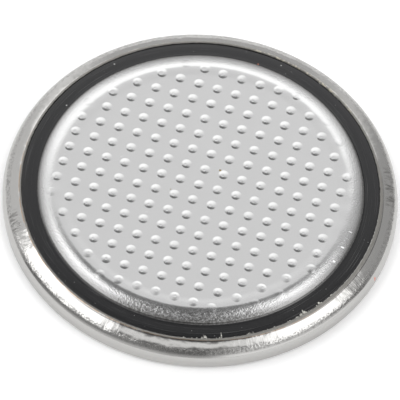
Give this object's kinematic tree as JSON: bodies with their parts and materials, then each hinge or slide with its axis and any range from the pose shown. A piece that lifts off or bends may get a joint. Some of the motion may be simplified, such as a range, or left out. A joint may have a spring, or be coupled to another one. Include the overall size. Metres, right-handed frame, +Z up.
{
  "type": "lithium coin cell",
  "caption": "Flat round lithium coin cell with a crimped steel can, dark seal ring and dot-embossed negative cap.",
  "frame": {"origin": "centre of the flat positive face, which the cell rests on", "axes": "+Z up through the negative cap; +X along one row of the cap's embossed dots"},
  "size_m": [0.02, 0.02, 0.0016],
  "materials": {
    "can_steel": "bright nickel plate with fine draw lines",
    "seal_plastic": "satin moulded polypropylene",
    "cap_steel": "bright pressed stainless sheet",
    "lithium": "dull rolled metal",
    "separator_cloth": "matt non-woven",
    "manganese_pellet": "matt pressed powder",
    "collector_steel": "plain stainless sheet"
  },
  "bodies": {
    "root": {"positive_can": "can_steel", "seal_ring": "seal_plastic", "negative_cap": "cap_steel", "lithium_anode": "lithium", "separator": "separator_cloth", "cathode_pellet": "manganese_pellet", "collector_ring": "collector_steel"}
  },
  "joints": []
}
